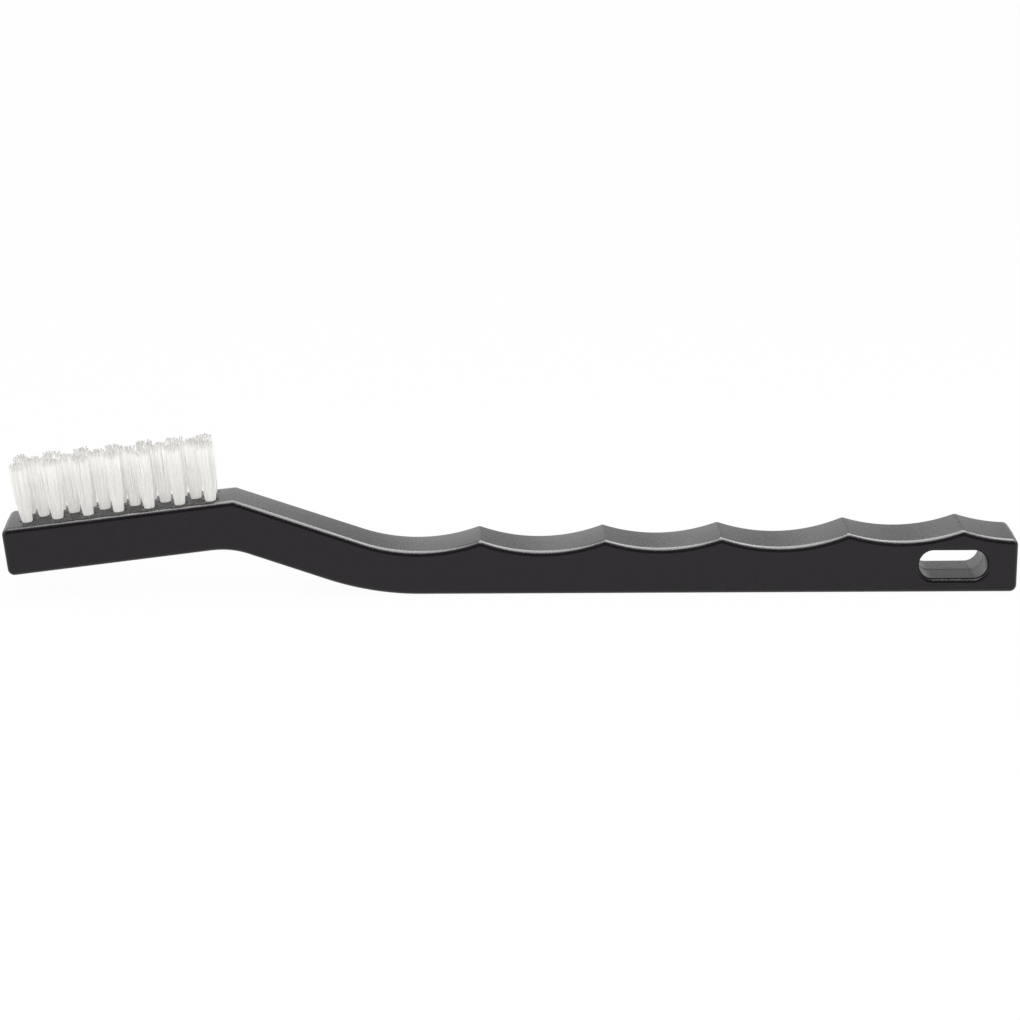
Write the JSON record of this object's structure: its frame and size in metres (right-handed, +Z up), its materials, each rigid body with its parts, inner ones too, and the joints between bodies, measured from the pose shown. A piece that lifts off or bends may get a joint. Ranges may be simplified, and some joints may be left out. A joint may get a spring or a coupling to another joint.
{
  "type": "utility brush",
  "caption": "Toothbrush-shaped utility brush with a bent black plastic handle, scalloped grip, hanging slot and staggered rows of white nylon tufts.",
  "frame": {"origin": "under the middle of the brush, on the surface that the flat underside of the grip rests on", "axes": "+X along the brush from the bristle head to the hanging slot, +Z up with the bristles, +Y across the handle"},
  "size_m": [0.184, 0.0126, 0.0286],
  "materials": {
    "handle_plastic": "black moulded polypropylene, satin with a very fine grain",
    "bristle_nylon": "white translucent nylon filament, cut level",
    "anchor_brass": "plain drawn flat wire"
  },
  "bodies": {
    "root": {"handle": "handle_plastic", "tuft_front_1": "bristle_nylon", "tuft_front_2": "bristle_nylon", "tuft_front_3": "bristle_nylon", "tuft_front_4": "bristle_nylon", "tuft_front_5": "bristle_nylon", "tuft_front_6": "bristle_nylon", "tuft_front_7": "bristle_nylon", "tuft_middle_1": "bristle_nylon", "tuft_middle_2": "bristle_nylon", "tuft_middle_3": "bristle_nylon", "tuft_middle_4": "bristle_nylon", "tuft_middle_5": "bristle_nylon", "tuft_middle_6": "bristle_nylon", "tuft_back_1": "bristle_nylon", "tuft_back_2": "bristle_nylon", "tuft_back_3": "bristle_nylon", "tuft_back_4": "bristle_nylon", "tuft_back_5": "bristle_nylon", "tuft_back_6": "bristle_nylon", "tuft_back_7": "bristle_nylon", "anchor_front_1": "anchor_brass", "anchor_front_2": "anchor_brass", "anchor_front_3": "anchor_brass", "anchor_front_4": "anchor_brass", "anchor_front_5": "anchor_brass", "anchor_front_6": "anchor_brass", "anchor_front_7": "anchor_brass", "anchor_middle_1": "anchor_brass", "anchor_middle_2": "anchor_brass", "anchor_middle_3": "anchor_brass", "anchor_middle_4": "anchor_brass", "anchor_middle_5": "anchor_brass", "anchor_middle_6": "anchor_brass", "anchor_back_1": "anchor_brass", "anchor_back_2": "anchor_brass", "anchor_back_3": "anchor_brass", "anchor_back_4": "anchor_brass", "anchor_back_5": "anchor_brass", "anchor_back_6": "anchor_brass", "anchor_back_7": "anchor_brass"}
  },
  "joints": []
}
